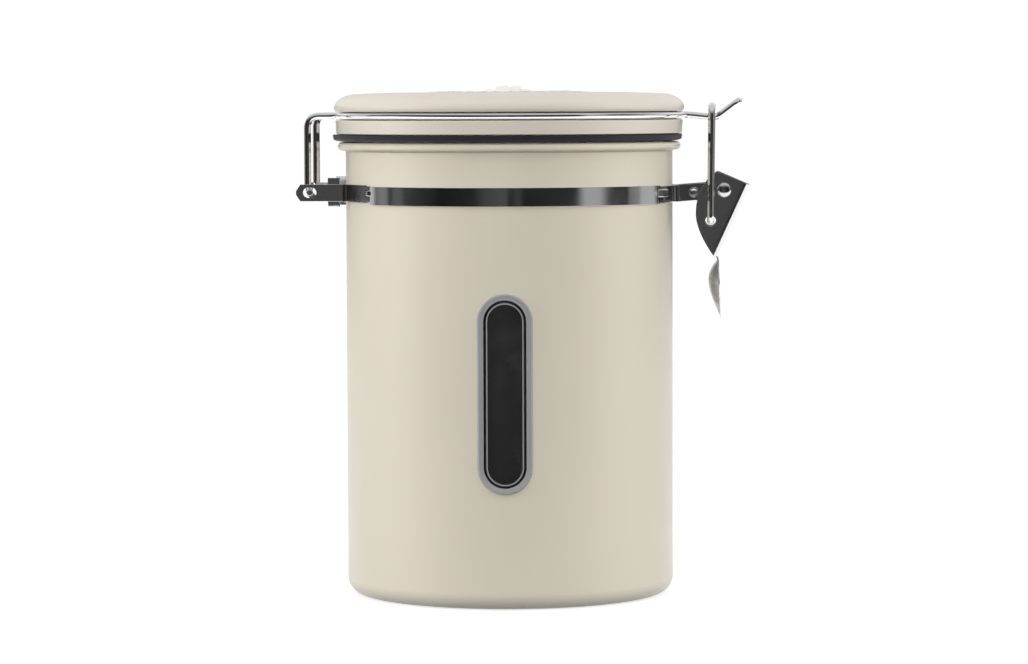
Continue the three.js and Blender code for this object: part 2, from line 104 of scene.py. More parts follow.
ARM_Y, ARM_HALF = 7.05, 3.1
ARM_RISE = math.degrees(math.atan2(1.35, 18.6))
ARM_LEAN = 1.5
ARM_THICK = PLATE * 0.875
RIVET_X = 68.9
RIVET_Z = PIVOT_Z + (RIVET_X - PIVOT_X) * math.tan(math.radians(ARM_RISE))
HOLE_R = 2
TRACK_IN, TRACK_MID, TRACK_OUT = 16.3, 19.6, 23.1
DIAL_LOW, TRACK_FLOOR, DIAL_TOP = 185.3, 186.1, 187


# ---- materials ----
class Nodes:
    """Short way to build a material's node tree round one Principled shader."""

    def __init__(self, name):
        self.material = bpy.data.materials.new(name)
        self.material.use_nodes = True
        self.tree = self.material.node_tree
        self.shader = self.tree.nodes["Principled BSDF"]
        self.place = self.add("ShaderNodeTexCoord").outputs["Object"]

    def add(self, kind, **values):
        node = self.tree.nodes.new(kind)
        for key, value in values.items():
            setattr(node, key, value)
        return node

    def link(self, source, target):
        self.tree.links.new(source, target)

    def set(self, **values):
        for key, value in values.items():
            self.shader.inputs[key.replace("_", " ")].default_value = value
        return self

    def stretched(self, scale):
        """Object coordinates scaled differently along X, Y and Z."""
        mapping = self.add("ShaderNodeMapping")
        mapping.inputs["Scale"].default_value = scale
        self.link(self.place, mapping.inputs["Vector"])
        return mapping.outputs["Vector"]

    def noise(self, scale, detail=3.0, where=None):
        node = self.add("ShaderNodeTexNoise")
        node.inputs["Scale"].default_value = scale
        node.inputs["Detail"].default_value = detail
        self.link(where or self.place, node.inputs["Vector"])
        return node.outputs["Fac"]

    def spread(self, value, low_value, high_value):
        """A 0 to 1 value spread between two numbers."""
        node = self.add("ShaderNodeMapRange")
        node.inputs["From Min"].default_value = 0.3
        node.inputs["From Max"].default_value = 0.7
        node.inputs["To Min"].default_value = low_value
        node.inputs["To Max"].default_value = high_value
        self.link(value, node.inputs["Value"])
        return node.outputs["Result"]

    def blend_colors(self, factor, first, second):
        node = self.add("ShaderNodeMix", data_type="RGBA")
        node.inputs["A"].default_value = (*first, 1)
        node.inputs["B"].default_value = (*second, 1)
        self.link(factor, node.inputs["Factor"])
        return node.outputs["Result"]

    def bump(self, height, strength, distance):
        node = self.add("ShaderNodeBump")
        node.inputs["Strength"].default_value = strength
        node.inputs["Distance"].default_value = distance
        self.link(height, node.inputs["Height"])
        self.link(node.outputs["Normal"], self.shader.inputs["Normal"])


def painted(name, color, roughness, grain):
    """Powder-coated steel: faint orange peel, fine speckle and a slow change of tone."""
    m = Nodes(name).set(Coat_Weight=0.25, Coat_Roughness=0.22, IOR=1.5)
    lighter = [min(1, c * 1.05) for c in color]
    tone = m.spread(m.noise(14, 2), 0, 1)
    m.link(m.blend_colors(tone, color, lighter), m.shader.inputs["Base Color"])
    m.link(m.spread(m.noise(60), roughness - 0.04, roughness + 0.05), m.shader.inputs["Roughness"])
    m.bump(m.noise(grain, 4), 0.10, 0.0002)
    return m.material


def polished(name, color, roughness, scale=(40, 40, 1500)):
    """Polished stainless sheet with fine rolling marks along one direction."""
    m = Nodes(name).set(Metallic=1.0)
    dull = [c * 0.93 for c in color]
    marks = m.noise(1, 4, m.stretched(scale))
    m.link(m.blend_colors(marks, dull, color), m.shader.inputs["Base Color"])
    cloudy = m.noise(90)
    m.link(m.spread(cloudy, roughness * 0.7, roughness * 1.5), m.shader.inputs["Roughness"])
    m.bump(marks, 0.03, 0.0001)
    return m.material


def moulded(name, color, roughness, grain=900, bump=0.06, **values):
    """Moulded plastic or silicone with a fine texture."""
    m = Nodes(name).set(**values)
    darker = [c * 0.92 for c in color]
    m.link(m.blend_colors(m.noise(45), darker, color), m.shader.inputs["Base Color"])
    m.link(m.spread(m.noise(120), roughness - 0.04, roughness + 0.06), m.shader.inputs["Roughness"])
    m.bump(m.noise(grain, 4), bump, 0.0002)
    return m.material


def felt():
    """Non-woven filter felt."""
    m = Nodes("felt").set(Roughness=0.95, Sheen_Weight=0.4)
    fibres = m.noise(1, 6, m.stretched((2500, 600, 2500)))
    m.link(m.blend_colors(fibres, (0.62, 0.59, 0.52), (0.86, 0.84, 0.78)), m.shader.inputs["Base Color"])
    m.bump(fibres, 0.5, 0.0003)
    return m.material


CREAM = painted("cream_paint", (0.565, 0.525, 0.43), 0.42, 1400)
CREAM_LID = painted("cream_lid_paint", (0.575, 0.53, 0.462), 0.36, 1200)
CREAM_DIAL = painted("cream_dial", (0.60, 0.555, 0.49), 0.45, 1800)
STEEL = polished("polished_steel", (0.78, 0.78, 0.79), 0.10)
STEEL_WIRE = polished("polished_wire", (0.82, 0.82, 0.83), 0.07, (300, 300, 300))
STEEL_PLATE = polished("sheet_steel", (0.72, 0.72, 0.73), 0.13, (60, 60, 900))
# Blue-tinted copy of the steel for the thumb tab: the tint is a painted reflection colour that cancels the
# cream of the can the tab reflects.
TAB_TINTED_REFLECTION = polished("thumb_tab_painted_reflection", (0.76, 0.79, 0.84), 0.24, (60, 60, 600))
# Near-black copy of the sheet steel for the hinge feet: painted shade for the dark studio they reflect, not a
# different metal.
SHADE_PAINTED_FOOT = polished("shade_painted_foot", (0.13, 0.13, 0.135), 0.26, (500, 500, 900))
STEEL_RIVET = polished("rivet_steel", (0.66, 0.66, 0.67), 0.2, (200, 200, 200))
STEEL_INSIDE = polished("bare_inside", (0.55, 0.54, 0.52), 0.34, (6, 6, 900))
RUBBER = moulded("black_silicone", (0.014, 0.014, 0.018), 0.55, 700, 0.12, Specular_IOR_Level=0.3)
BEZEL = moulded("grey_bezel", (0.285, 0.286, 0.292), 0.22, Coat_Weight=0.6, Coat_Roughness=0.1)
FRAME_PLASTIC = moulded("grey_frame", (0.28, 0.29, 0.31), 0.4)
CLEAR = moulded("clear_window", (0.15, 0.15, 0.155), 0.06, 300, 0.01, Transmission_Weight=0.9, IOR=1.49)
# Opaque lighter grey for the lens's rounded edge: a painted highlight of its lit rim.
LENS_RIM_PAINTED_HIGHLIGHT = moulded("lens_rim_painted_highlight", (0.27, 0.265, 0.26), 0.3, 500, 0.03)
WHITE = moulded("white_plastic", (0.80, 0.785, 0.74), 0.38, 800)
SILICONE = moulded("clear_silicone", (0.75, 0.75, 0.72), 0.45, 600, 0.08, Transmission_Weight=0.3)
INK = moulded("dial_ink", (0.09, 0.085, 0.08), 0.6, 2000, 0.05)
FELT = felt()


# ---- meshes ----
ON_AXIS = 1e-6
MERGE = 1e-7


def finish_mesh(name, bm, material, sharp=35):
    bmesh.ops.recalc_face_normals(bm, faces=bm.faces[:])
    mesh = bpy.data.meshes.new(name)
    bm.to_mesh(mesh)
    bm.free()
    mesh.shade_smooth()
    mesh.set_sharp_from_angle(angle=math.radians(sharp))
    mesh.materials.append(material)
    piece = bpy.data.objects.new(name, mesh)
    bpy.context.scene.collection.objects.link(piece)
    return piece


def bent(a, b, c, steps):
    """Points from a to c that bend smoothly towards b."""
    shares = [k / steps for k in range(steps + 1)]
    return [a * (1 - t) ** 2 + b * 2 * t * (1 - t) + c * t ** 2 for t in shares]


def rounded(points, closed=True, steps=5):
    """Outline with its corners rounded: each point is (a, b) or (a, b, radius)."""
    result = []
    count = len(points)
    for i, point in enumerate(points):
        here = Vector(point[:2])
        radius = point[2] if len(point) > 2 else 0
        if radius == 0 or (not closed and i in (0, count - 1)):
            result.append(here)
            continue
        before = Vector(points[i - 1][:2])
        after = Vector(points[(i + 1) % count][:2])
        turn = (before - here).angle(after - here)
        reach = min(radius / math.tan(turn / 2), 0.49 * (before - here).length, 0.49 * (after - here).length)
        start = here + (before - here).normalized() * reach
        end = here + (after - here).normalized() * reach
        result += bent(start, here, end, steps)
    return result


def arc(a, b, radius_a, radius_b, start, end, steps):
    """Points of an elliptical arc round (a, b)."""
    points = []
    for k in range(steps + 1):
        angle = math.radians(start + (end - start) * k / steps)
        points.append((a + radius_a * math.cos(angle), b + radius_b * math.sin(angle)))
    return points


def turned(name, profile, material, sides=160):
    """Turned piece about Z. A profile that starts on the axis ends on it; any other closes on itself."""
    bm = bmesh.new()
    rings = []
    for r, z in profile:
        if r < ON_AXIS:
            rings.append([bm.verts.new((0, 0, z * MM))])
            continue
        step = 2 * math.pi / sides
        rings.append([bm.verts.new((r * MM * math.cos(k * step), r * MM * math.sin(k * step), z * MM))
                      for k in range(sides)])
    pairs = list(zip(rings, rings[1:]))
    if profile[0][0] > ON_AXIS:
        pairs.append((rings[-1], rings[0]))
    for a, b in pairs:
        for k in range(sides):
            n = (k + 1) % sides
            corners = [a[k % len(a)], a[n % len(a)], b[n % len(b)], b[k % len(b)]]
            unique = list(dict.fromkeys(corners))
            if len(unique) > 2:
                bm.faces.new(unique)
    return finish_mesh(name, bm, material)


def prism(name, outlines, axis, start, end, material, edge=0.0):
    """Prism of an outline and its holes. axis "y" draws in X and Z, axis "z" in X and Y."""
    curve = bpy.data.curves.new(name, "CURVE")
    curve.dimensions = "2D"
    curve.fill_mode = "BOTH"
    curve.extrude = (end - start) / 2 * MM - edge * MM
    curve.bevel_depth = edge * MM
    curve.bevel_resolution = 2
    curve.offset = -edge * MM
    for outline in outlines:
        spline = curve.splines.new("POLY")
        spline.points.add(len(outline) - 1)
        for target, source in zip(spline.points, outline):
            target.co = (source[0] * MM, source[1] * MM, 0, 1)
        spline.use_cyclic_u = True
    shape = bpy.data.objects.new(name + "_outline", curve)
    bpy.context.scene.collection.objects.link(shape)
    mesh = bpy.data.meshes.new_from_object(shape.evaluated_get(bpy.context.evaluated_depsgraph_get()))
    bpy.data.objects.remove(shape)
    middle = (start + end) / 2 * MM
    if axis == "y":
        mesh.transform(Matrix.Translation((0, middle, 0)) @ Matrix.Rotation(math.pi / 2, 4, "X"))
    else:
        mesh.transform(Matrix.Translation((0, 0, middle)))
    bm = bmesh.new()
    bm.from_mesh(mesh)
    bmesh.ops.remove_doubles(bm, verts=bm.verts[:], dist=MERGE)
    return finish_mesh(name, bm, material)


def circle(x, y, radius, steps=32):
    return arc(x, y, radius, radius, 0, 360 - 360 / steps, steps - 1)


def baked(piece):
    """Applies a piece's modifiers to its mesh."""
    evaluated = piece.evaluated_get(bpy.context.evaluated_depsgraph_get())
    mesh = bpy.data.meshes.new_from_object(evaluated)
    piece.modifiers.clear()
    piece.data = mesh
    return piece


def combine(piece, tool, operation):
    """Boolean of two pieces; the tool is used up."""
    modifier = piece.modifiers.new("cut", "BOOLEAN")
    modifier.operation = operation
    modifier.object = tool
    modifier.solver = "EXACT"
    baked(piece)
    bpy.data.objects.remove(tool)
    return piece


def eased(piece, width, angle=35):
    """Rounds a piece's sharp edges a little."""
    modifier = piece.modifiers.new("edges", "BEVEL")
    modifier.width = width * MM
    modifier.segments = 2
    modifier.limit_method = "ANGLE"
    modifier.angle_limit = math.radians(angle)
    baked(piece)
    piece.data.shade_smooth()
    piece.data.set_sharp_from_angle(angle=math.radians(50))
    return piece


def joined(piece, *others):
    """One piece out of several meshes."""
    bm = bmesh.new()
    bm.from_mesh(piece.data)
    for other in others:
        mesh = other.data
        mesh.transform(other.matrix_world)
        bm.from_mesh(mesh)
        bpy.data.objects.remove(other)
    bm.to_mesh(piece.data)
    bm.free()
    return piece


def across_y(piece, name):
    """Mirrored copy on the other side of the plane y = 0."""
    mesh = piece.data.copy()
    mesh.transform(Matrix.Scale(-1, 4, (0, 1, 0)))
    mesh.flip_normals()
    copy = bpy.data.objects.new(name, mesh)
    bpy.context.scene.collection.objects.link(copy)
    return copy


def bar_y(name, x, z, radius, start, end, material, steps=32):
    return prism(name, [circle(x, z, radius, steps)], "y", start, end, material)


def dome_rivet(name, x, z, profile, material):
    """Rivet head along -Y from a profile of (radius, height), with the same head on the other side."""
    head = turned(name, profile, material, 48)
    head.data.transform(Matrix.Translation((x * MM, 0, z * MM)) @ Matrix.Rotation(math.pi / 2, 4, "X"))
    return joined(head, across_y(head, name + "_far"))


def place(piece, body, slot, *nodes):
    """Flattens the shading of a finished piece, puts it on its body and hides its CAD nodes."""
    flat = piece.modifiers.new("flat_faces", "WEIGHTED_NORMAL")
    flat.keep_sharp = True
    baked(piece)
    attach(piece, body)
    if nodes:
        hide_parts(*nodes)
    return piece


# ---- wires ----
def corner(before, at_corner, after, radius, steps=8):
    """Rounded corner of a wire's route."""
    a, b, c = Vector(before), Vector(at_corner), Vector(after)
    return bent(b + (a - b).normalized() * radius, b, b + (c - b).normalized() * radius, steps)


def wire(name, route, material, radius=WIRE_R, sides=20):
    """Round wire along a route, with rounded ends."""
    points = [Vector(p) * MM for p in route]
    r = radius * MM
    first = (points[0] - points[1]).normalized()
    last = (points[-1] - points[-2]).normalized()
    stations = [(points[0], r * 0.75)] + [(p, r) for p in points[1:-1]] + [(points[-1], r * 0.75)]
    stations.insert(1, (points[0] - first * r * 0.3, r))
    stations.insert(-1, (points[-1] - last * r * 0.3, r))
    bm = bmesh.new()
    normal = None
    loops = []
    for i, (p, size) in enumerate(stations):
        ahead = stations[min(i + 1, len(stations) - 1)][0] - stations[max(i - 1, 0)][0]
        ahead.normalize()
        if normal is None:
            normal = ahead.orthogonal().normalized()
        normal = (normal - ahead * normal.dot(ahead)).normalized()
        side = ahead.cross(normal)
        loops.append([bm.verts.new(p + (normal * math.cos(a) + side * math.sin(a)) * size)
                      for a in (2 * math.pi * k / sides for k in range(sides))])
    for a, b in zip(loops, loops[1:]):
        for k in range(sides):
            bm.faces.new((a[k], a[(k + 1) % sides], b[(k + 1) % sides], b[k]))
    bm.faces.new(loops[0])
    bm.faces.new(loops[-1])
    return finish_mesh(name, bm, material, 50)


def spaced(a, b, count):
    a, b = Vector(a), Vector(b)
    return [a.lerp(b, k / count) for k in range(1, count)]


# ---- can ----
WINDOW_STEPS = 28


def window_outline(half, steps=20):
    """Slot with round ends, as (x, z) points."""
    reach = WINDOW_STRAIGHT / 2
    upper = arc(0, WINDOW_Z + reach, half, half, 0, 180, steps)
    return upper + arc(0, WINDOW_Z - reach, half, half, 180, 360, steps)


def window_cutter(half):
    """Tool that cuts the window's slot through the can's front wall."""
    tool = prism("window_cutter", [window_outline(half)], "y", -80, -40, CREAM)
    tool.data.transform(Matrix.Rotation(math.radians(WINDOW_ANGLE), 4, "Z"))
    return tool


def can_shell():
    inner = CAN_R - CAN_WALL
    turn_r = CAN_R - BASE_ROUND
    bead_z = RIM_Z - RIM_BEAD
    profile = [(0, 0), (30, 0), (turn_r - 2, 0)]
    profile += arc(turn_r, BASE_ROUND, BASE_ROUND, BASE_ROUND, -90, 0, 12)
    profile += [(CAN_R, 40), (CAN_R, 100), (CAN_R, 140), (CAN_R, bead_z - RIM_BEAD - 0.5)]
    profile += arc(CAN_R + RIM_BEAD, bead_z, RIM_BEAD, RIM_BEAD, -110, 90, 14)
    profile += [(CAN_R + 0.2, RIM_Z)]
    profile += arc(CAN_R - 0.1, RIM_Z - 0.7, 0.7, 0.7, 100, 180, 4)
    profile += [(inner, 100), (inner, 40)]
    profile += arc(turn_r, BASE_ROUND, BASE_ROUND - CAN_WALL, BASE_ROUND - CAN_WALL, 0, -90, 8)
    profile += [(0, CAN_WALL)]
    shell = turned("can_shell", profile, CREAM, 192)
    combine(shell, window_cutter(OPENING_HALF), "DIFFERENCE")
    shell.data.materials.clear()
    shell.data.materials.append(CREAM)
    shell.data.materials.append(STEEL_INSIDE)
    limit = (CAN_R - 0.35) * MM
    for face in shell.data.polygons:
        x, y, z = face.center
        inside = math.hypot(x, y) < limit and z > 0.2 * MM and z < (RIM_Z - 1) * MM
        inside = inside and not (z < BASE_ROUND * MM and face.normal.z < -0.05)
        face.material_index = 1 if inside and face.normal.x * x + face.normal.y * y < 1e-5 else 0
    shell.data.shade_smooth()
    shell.data.set_sharp_from_angle(angle=math.radians(35))
    return shell


def window_loft(name, rings, material, closed):
    """Piece that follows the window's outline: each ring is (half width, radius from the can's axis)."""
    bm = bmesh.new()
    loops = []
    for half, out in rings:
        loop = []
        for x, z in window_outline(half, WINDOW_STEPS):
            y = -math.sqrt(out ** 2 - x ** 2)
            loop.append(bm.verts.new((x * MM, y * MM, z * MM)))
        loops.append(loop)
    pairs = list(zip(loops, loops[1:]))
    if closed:
        pairs.append((loops[-1], loops[0]))
    for a, b in pairs:
        for k in range(len(a)):
            n = (k + 1) % len(a)
            bm.faces.new((a[k], a[n], b[n], b[k]))
    if not closed:
        # The two end faces follow the can, so they are bridged straight across.
        for loop in (loops[0], loops[-1]):
            half_count = len(loop) // 2
            for k in range(half_count - 1):
                quad = (loop[k], loop[k + 1], loop[-k - 2], loop[-k - 1])
                bm.faces.new(quad)
    piece = finish_mesh(name, bm, material, 40)
    piece.data.transform(Matrix.Rotation(math.radians(WINDOW_ANGLE), 4, "Z"))
    return piece


BEZEL_STAND = 0.9
LENS_FRONT, LENS_STEP, LENS_BACK = 61.6, 59, 58.1


def window_bezel():
    out = BAND_R + BEZEL_STAND
    rings = [(BEZEL_HALF - 0.1, BAND_R), (BEZEL_HALF, BAND_R + 0.25), (BEZEL_HALF - 0.12, out - 0.28),
             (BEZEL_HALF - 0.45, out - 0.02), (BEZEL_HALF - 0.7, out), (BEZEL_HALF - 0.95, out - 0.04),
             (BEZEL_HALF - 1.5, out - 0.12), (OPENING_HALF + 0.25, out - 0.2), (OPENING_HALF, out - 0.45),
             (OPENING_HALF, BAND_R)]
    return window_loft("window_bezel_frame", rings, BEZEL, True)


def window_pane():
    """Clear pane with a flange behind the wall and a lighter opaque line round the edge of its raised lens, a
    painted highlight of the lens's lit rim.
    """
    front = LENS_FRONT
    rings = [(FLANGE_HALF, LENS_BACK), (FLANGE_HALF, LENS_STEP), (LENS_HALF, LENS_STEP),
             (LENS_HALF, front - 0.35), (LENS_HALF - 0.3, front - 0.05), (LENS_HALF - 0.75, front),
             (LENS_HALF - 0.85, front - 0.12)]
    highlight_strip = 4
    pane = window_loft("window_pane", rings, CLEAR, False)
    pane.data.materials.append(LENS_RIM_PAINTED_HIGHLIGHT)
    count = len(window_outline(LENS_HALF, WINDOW_STEPS))
    for face in pane.data.polygons[highlight_strip * count:(highlight_strip + 1) * count]:
        face.material_index = 1
    return pane


def window_ring(name, inner, outer, material):
    rings = [(FLANGE_HALF, inner), (FLANGE_HALF, outer), (OPENING_HALF, outer), (OPENING_HALF, inner)]
    return window_loft(name, rings, material, True)


place(can_shell(), "can", "can_paint", "can_body")
place(window_bezel(), "can", "bezel_plastic", "window_bezel")
place(window_pane(), "can", "window_clear", "window_lens")
seal_in, seal_out, frame_in, frame_out = 59.3, 59.9, 56.8, 57.8
place(window_ring("window_seal_ring", seal_in, seal_out, RUBBER), "can", "black_silicone", "window_seal")
inner_frame = window_ring("window_inner_frame", frame_in, frame_out, FRAME_PLASTIC)
place(inner_frame, "can", "bezel_plastic", "window_frame")


# ---- band, ears and bracket ----
def sheet_strip(name, route, thick, z_low, z_high, material, edge=0.12):
    """Sheet standing on edge: a plan route of (x, y) points given a thickness and a height."""
    points = [Vector(p) for p in route]
    left, right = [], []
    for i, p in enumerate(points):
        ahead = (points[min(i + 1, len(points) - 1)] - points[max(i - 1, 0)]).normalized()
        side = Vector((-ahead.y, ahead.x)) * thick / 2
        left.append(p + side)
        right.append(p - side)
    return prism(name, [left + right[::-1]], "z", z_low, z_high, material, edge)


def round_can(radius, start, end, steps):
    """Plan points round the can, angles from +X towards +Y."""
    return arc(0, 0, radius, radius, start, end, steps)


# Each strap's tongue sits between the two prongs of a hinge foot and its hook laps over a latch foot.
# PRONG is the prongs' length in degrees round the can; FOOT_X is where a hinge ear turns into its foot, and
# past it the foot and prongs get near-black steel that is painted shade.
PRONG = 2.6
FOOT_X = -62.6
PRONG_HEIGHTS = ((146.9, 148.8), (151.2, 152.6))
TONGUE_HEIGHT, TONGUE_BULGE = (149.1, 150.9), 0.75
HOOK_HEIGHT, HOOK_REACH = (148.2, 151), 4.6
BRIDGE_HEIGHT = (147, 152.6)
LATCH_FOOT_HEIGHT = (146, 152.2)


def band_half(name):
    """Front half of the clamp band, with its tongue and its hook."""
    start = 180 + HINGE_FOOT_END + PRONG + 0.3
    end = 360 - LATCH_FOOT_END - 0.6
    middle = BAND_R + BAND_THICK / 2
    outside = BAND_R + PLATE + GAP + BAND_THICK / 2
    strap = sheet_strip(name, round_can(middle, start, end, 90), BAND_THICK, BAND_LOW, BAND_HIGH, STEEL, 0.1)
    arch = []
    for share in (k / 12 for k in range(13)):
        radius = middle + TONGUE_BULGE * math.sin(math.pi * share)
        arch.append(round_can(radius, start + 0.5 - (PRONG + 0.6) * share, start, 1)[0])
    tongue = sheet_strip(name + "_tongue", arch, BAND_THICK, *TONGUE_HEIGHT, STEEL, 0.2)
    lift = round_can(middle, end - 1.2, end - 0.9, 1)
    lap = round_can(outside, end + 0.3, end + HOOK_REACH, 8)
    hook = sheet_strip(name + "_hook", lift + lap, BAND_THICK, *HOOK_HEIGHT, STEEL, 0.3)
    return joined(strap, tongue, hook)


def hinge_ear(name):
    """Upright ear with a pointed tip and a slot for the wire, bent into a foot that lies round the can."""
    middle = BAND_R + PLATE / 2
    y = -EAR_Y - PLATE / 2
    meet = 180 + math.degrees(math.asin(-y / middle))
    bend_point = Vector((-math.sqrt(middle ** 2 - y ** 2), y))
    foot = round_can(middle, meet + 2.2, 180 + HINGE_FOOT_END, 16)
    bend = [p[:2] for p in corner((EAR_TIP, y, 0), (*bend_point, 0), (*foot[1], 0), 1.8)]
    route = [(EAR_TIP - 1, y), (-70, y)] + bend + foot
    plate = sheet_strip(name, route, PLATE, EAR_MID - EAR_HALF, EAR_MID + EAR_HALF, STEEL_PLATE)
    prong_way = round_can(middle, 180 + HINGE_FOOT_END - 0.8, 180 + HINGE_FOOT_END + PRONG, 6)
    prongs = [sheet_strip("prong", prong_way, PLATE, *height, STEEL_PLATE, 0.3) for height in PRONG_HEIGHTS]
    upper = [(EAR_TIP, 0.7), (EAR_TIP + 1.6, EAR_HALF), (EAR_TIP + 2.2, EAR_HALF + 1), (-40, EAR_HALF + 1)]
    tip = [(x, EAR_MID + rise) for x, rise in upper] + [(x, EAR_MID - rise) for x, rise in upper[::-1]]
    combine(plate, prism("tip", [tip], "y", -60, 0, STEEL_PLATE), "INTERSECT")
    slot_half = 1.9
    slot = arc(HINGE_X + 0.5, HINGE_Z, slot_half, slot_half, -90, 90, 12)
    slot += arc(HINGE_X - 0.7, HINGE_Z, slot_half, slot_half, 90, 270, 12)
    combine(plate, prism("slot", [slot], "y", -25, 0, STEEL_PLATE), "DIFFERENCE")
    ear = joined(eased(plate, 0.12), *prongs)
    # Faces past FOOT_X (the foot and its prongs) take the near-black steel: painted shade on the same sheet
    # as the ear.
    ear.data.materials.append(SHADE_PAINTED_FOOT)
    for face in ear.data.polygons:
        face.material_index = 1 if face.center.x > FOOT_X * MM else 0
    return ear


def along_x(piece, x_middle):
    """Turns a prism drawn in X and Y so that it is drawn in Y and Z and runs along X."""
    turn = Matrix(((0, 0, 1, 0), (1, 0, 0, 0), (0, 1, 0, 0), (0, 0, 0, 1)))
    piece.data.transform(Matrix.Translation((x_middle * MM, 0, 0)) @ turn)
    return piece


def hinge_bridge():
    """Sheet round the can whose ends are turned out as cheeks with bent tabs above and below the ears."""
    y = -(EAR_Y - GAP - PLATE / 2)
    side = [(y + 0.5, 144.5), (y, 146.8), (y, 153.2), (y + 0.2, 155.3)]
    outline = [(a - PLATE / 2, z) for a, z in side] + [(a + PLATE / 2, z) for a, z in side[::-1]]
    cheek = along_x(prism("bridge_cheek", [outline], "z", -2.25, 2.25, STEEL_PLATE, 0.12), -64.15)
    bottom, top = BRIDGE_HEIGHT
    neck = prism("bridge_neck", [[(-62.2, bottom), (-59.7, bottom), (-59.7, top), (-62.2, top)]], "y",
                 y - PLATE / 2, y + PLATE / 2, STEEL_PLATE, 0.1)
    front = joined(cheek, neck)
    web_way = round_can(BAND_R + PLATE / 2, 164, 196, 24)
    web = sheet_strip("hinge_bridge_sheet", web_way, PLATE, *BRIDGE_HEIGHT, STEEL)
    return joined(web, across_y(front, "bridge_cheek_rear"), front)


def latch_arm(name):
    """Foot round the can, and an arm that rises a little to the lever's pivot."""
    middle = BAND_R + PLATE / 2
    meet = math.degrees(math.asin(ARM_Y / middle))
    foot = round_can(middle, 360 - LATCH_FOOT_END, 360 - meet - 2.2, 14)
    corner_point = (math.sqrt(middle ** 2 - ARM_Y ** 2), -ARM_Y, 0)
    bend = [p[:2] for p in corner((*foot[-2], 0), corner_point, (PIVOT_X, -ARM_Y, 0), 1.6)]
    foot_way = foot + bend + [(64.4, -ARM_Y)]
    foot_plate = sheet_strip(name, foot_way, ARM_THICK, *LATCH_FOOT_HEIGHT, STEEL_PLATE)
    outline = arc(0, 0, ARM_HALF, ARM_HALF, -90, 90, 16) + [(-16.6, ARM_HALF), (-16.6, -ARM_HALF)]
    holes = [circle(0, 0, HOLE_R), circle(RIVET_X - PIVOT_X, -0.1, 1.5)]
    half = ARM_THICK / 2
    arm = prism("arm", [outline] + holes, "y", -ARM_Y - half, -ARM_Y + half, STEEL_PLATE, 0.1)
    turn = Matrix.Rotation(-math.radians(ARM_RISE), 4, "Y")
    lean = Matrix.Translation((0, -ARM_Y * MM, 0)) @ Matrix.Rotation(math.radians(ARM_LEAN), 4, "Z")
    turn = turn @ lean @ Matrix.Translation((0, ARM_Y * MM, 0))
    arm.data.transform(Matrix.Translation((PIVOT_X * MM, 0, PIVOT_Z * MM)) @ turn)
    return joined(foot_plate, arm)


band = place(band_half("band_front_strap"), "can", "polished_steel", "band_front")
place(across_y(band, "band_rear_strap"), "can", "polished_steel", "band_rear")
ear = place(hinge_ear("hinge_ear_front_plate"), "can", "polished_steel", "hinge_ear_front")
place(across_y(ear, "hinge_ear_rear_plate"), "can", "polished_steel", "hinge_ear_rear")
place(hinge_bridge(), "can", "polished_steel", "hinge_bridge")
arm = place(latch_arm("latch_arm_front_plate"), "can", "polished_steel", "latch_arm_front")
place(across_y(arm, "latch_arm_rear_plate"), "can", "polished_steel", "latch_arm_rear")

# Rivet heads as (radius, distance from the part's middle plane).
ring_edged = [(0, 7.0), (1.2, 7.0), (1.2, 7.45), (1.9, 7.45), (1.9, 7.9), (1.7, 8.15), (1.3, 8.2),
              (1.15, 8.1), (0, 8.1)]
domed = [(0, 6.5), (1.7, 6.5), (1.7, 8.6), (2.7, 8.6)] + arc(0, 8.75, 2.7, 1.15, 0, 90, 12)
arm_rivet = dome_rivet("arm_rivet_heads", RIVET_X, RIVET_Z, ring_edged, STEEL_RIVET)
place(arm_rivet, "can", "polished_steel", "arm_rivet")
lever_rivet = dome_rivet("lever_rivet_heads", PIVOT_X, PIVOT_Z, domed, STEEL_RIVET)
place(lever_rivet, "can", "polished_steel", "lever_rivet")


# ---- ring ----
def ring_route():
    """Half of the bent wire from a hinge leg round the front to the tail's end, then the other half."""
    leg_angle, tail_angle, tail_y = 199, 355, 1.9

    def flat(x, y, z=RING_Z):
        return Vector((x, y, z))

    def tangent_corner(degrees, y):
        a = math.radians(degrees)
        return flat((RING_R - y * math.sin(a)) / math.cos(a), y)

    hoop = [flat(x, y) for x, y in arc(0, 0, RING_R, RING_R, leg_angle, tail_angle, 90)]
    y = -LEG_Y
    route = [flat(HINGE_X, -19.2, HINGE_Z)]
    route += bent(flat(HINGE_X, -18, HINGE_Z), flat(HINGE_X - 0.4, y, HINGE_Z),
                  flat(LEG_X, y, HINGE_Z + 3.2), 8)
    route += [flat(LEG_X, y, HINGE_Z + 12)]
    route += bent(flat(LEG_X, y, RING_Z - 4.5), flat(LEG_X, y), flat(LEG_X + 4.5, y), 12)
    route += bent(flat(-66.8, y), tangent_corner(leg_angle, y), hoop[0], 10)[:-1]
    route += hoop
    tail_start = flat(67.6, -tail_y, 178.1)
    route += bent(hoop[-1], tangent_corner(tail_angle, -tail_y), tail_start, 10)[1:]
    route += bent(flat(75.4, -tail_y, 177.3), flat(77.4, -tail_y, 177.2), flat(79, -tail_y, 178.4), 8)
    # The tail's end is a half circle that lies in the slope of the last straight.
    centre, slope = flat(84.0, 0, 182.2), Vector((0.81, 0, 0.59))
    route += [centre + slope * (tail_y * math.sin(a)) - Vector((0, tail_y * math.cos(a), 0))
              for a in (math.pi / 2 * k / 6 for k in range(7))]
    return route + [Vector((p.x, -p.y, p.z)) for p in route[-2::-1]]


place(wire("ring_wire_bent", ring_route(), STEEL_WIRE), "ring", "polished_steel", "ring_wire")


# ---- latch ----
# Ends of the lever's slanted back, as (x, z).
BACK_LOW = Vector((78.2, 127.2))
BACK_HIGH = Vector((89.5, 152.1))


